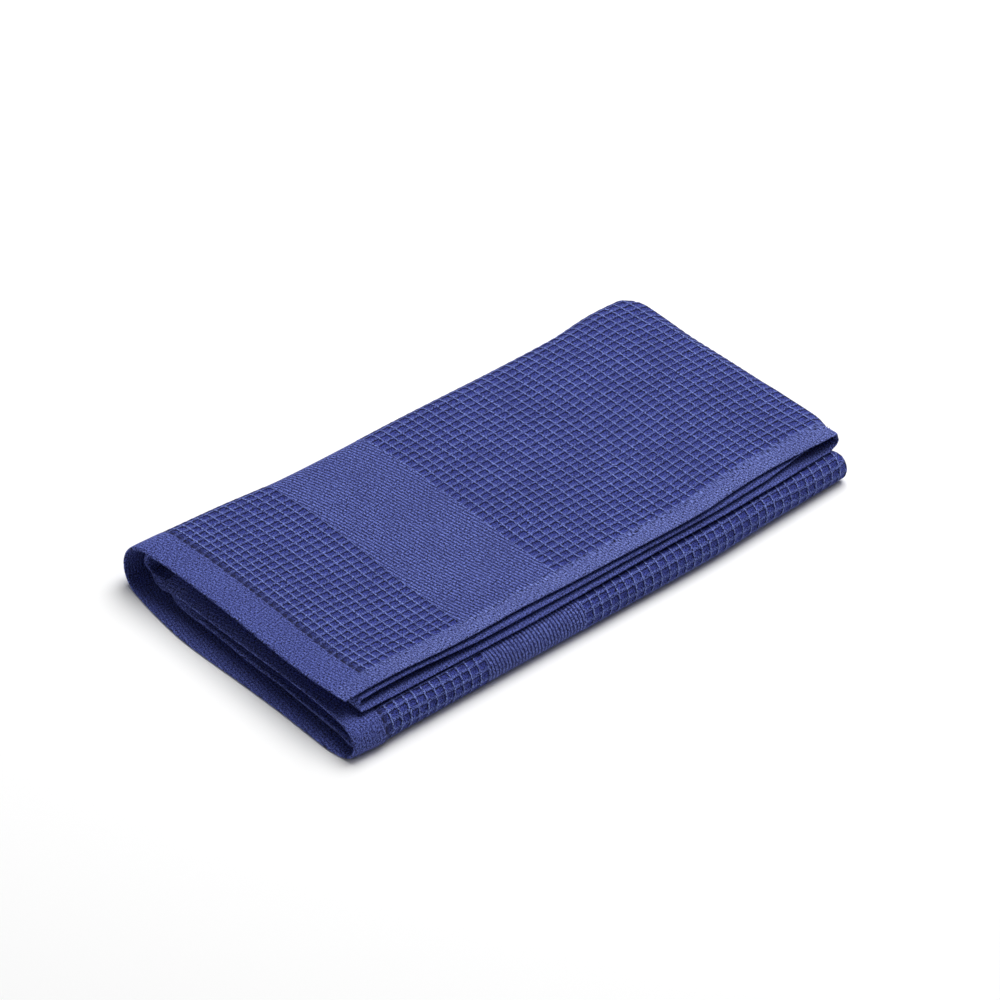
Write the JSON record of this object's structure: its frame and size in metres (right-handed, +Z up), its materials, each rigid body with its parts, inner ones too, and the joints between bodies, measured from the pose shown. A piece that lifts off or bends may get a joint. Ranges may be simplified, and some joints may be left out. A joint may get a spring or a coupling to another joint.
{
  "type": "bath towel",
  "caption": "Folded bath towel of waffle-weave cotton with a flat woven band and plain hemmed end, lying as a soft layered stack.",
  "frame": {"origin": "middle of the folded stack on the surface it lies on", "axes": "+X along the stack's long side, away from the hemmed end; +Y towards the back roll; +Z up from the surface"},
  "size_m": [0.4938, 0.2676, 0.0379],
  "materials": {
    "waffle_cotton": "matt waffle-weave cotton, piece-dyed royal blue"
  },
  "bodies": {
    "root": {"towel": "waffle_cotton"}
  },
  "joints": []
}
